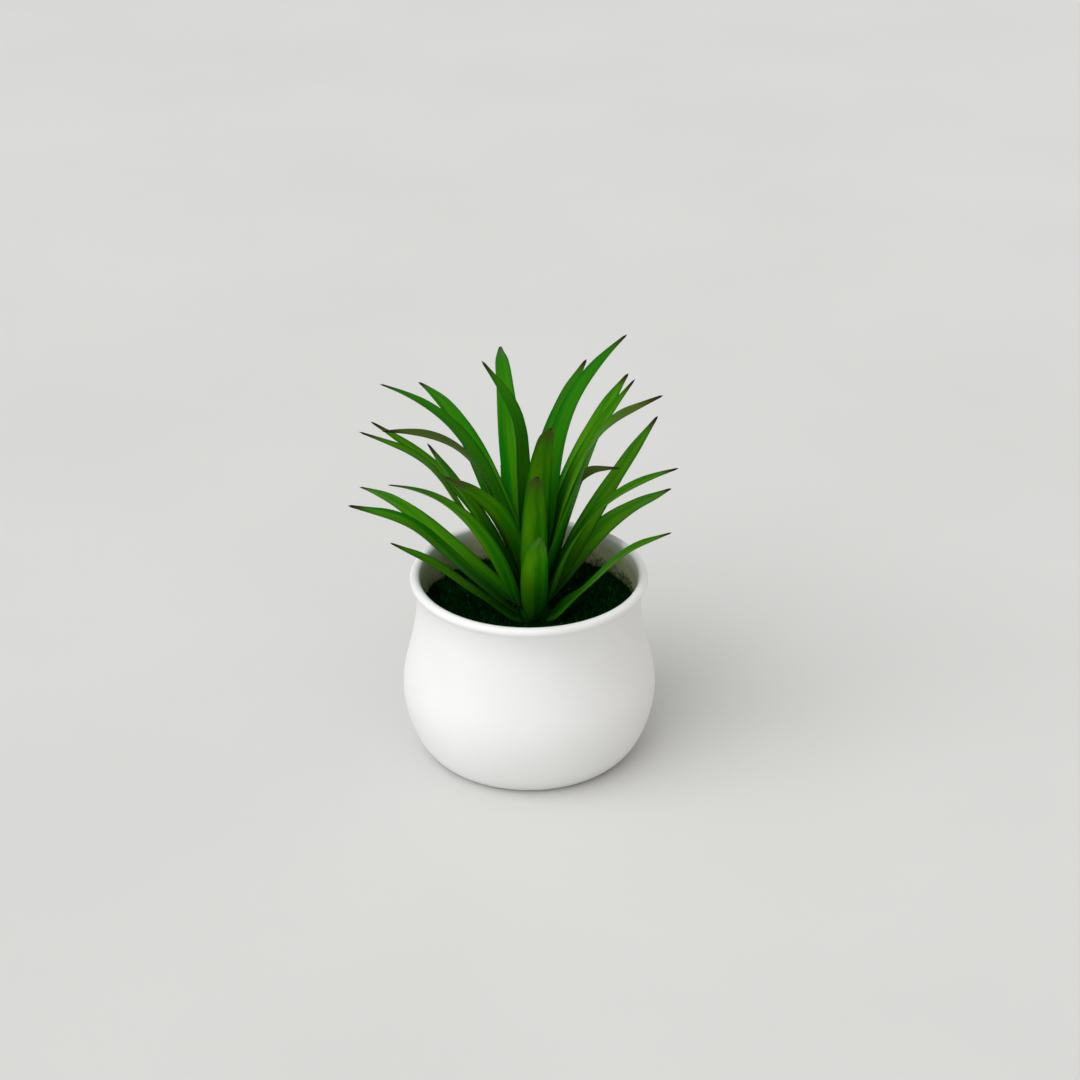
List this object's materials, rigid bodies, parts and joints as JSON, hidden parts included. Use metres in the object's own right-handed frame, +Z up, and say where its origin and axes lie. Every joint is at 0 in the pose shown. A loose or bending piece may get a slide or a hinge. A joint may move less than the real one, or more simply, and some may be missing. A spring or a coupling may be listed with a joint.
{
  "type": "potted ponytail palm",
  "caption": "Small artificial ponytail palm with arching green strap leaves, in a round-bellied white pot with a rolled lip and a dark moss cover.",
  "frame": {"origin": "centre of the pot's foot, on the surface that it stands on", "axes": "+Z up along the pot's axis, -Y towards the front of the plant, +X to the viewer's right"},
  "size_m": [0.1022, 0.138, 0.1318],
  "materials": {
    "pot": "matte white moulded plastic, a faint sheen",
    "leaf": "soft moulded plastic, deep green, semi-matte",
    "stem": "moulded plastic, dark green",
    "moss": "dark green flock on foam",
    "foam": "dry floral foam, unpainted"
  },
  "bodies": {
    "root": {"foam_plug": "foam", "inner_leaf_1": "leaf", "inner_leaf_2": "leaf", "inner_leaf_3": "leaf", "inner_leaf_4": "leaf", "inner_leaf_5": "leaf", "inner_leaf_6": "leaf", "lower_leaf_1": "leaf", "lower_leaf_2": "leaf", "lower_leaf_3": "leaf", "lower_leaf_4": "leaf", "lower_leaf_5": "leaf", "lower_leaf_6": "leaf", "lower_leaf_7": "leaf", "lower_leaf_8": "leaf", "moss_cover": "moss", "outer_leaf_1": "leaf", "outer_leaf_2": "leaf", "outer_leaf_3": "leaf", "outer_leaf_4": "leaf", "outer_leaf_5": "leaf", "outer_leaf_6": "leaf", "outer_leaf_7": "leaf", "pot": "pot", "stem": "stem", "upper_leaf_1": "leaf", "upper_leaf_2": "leaf", "upper_leaf_3": "leaf", "upper_leaf_4": "leaf", "upper_leaf_5": "leaf", "upper_leaf_6": "leaf", "upper_leaf_7": "leaf", "upper_leaf_8": "leaf"}
  },
  "joints": []
}
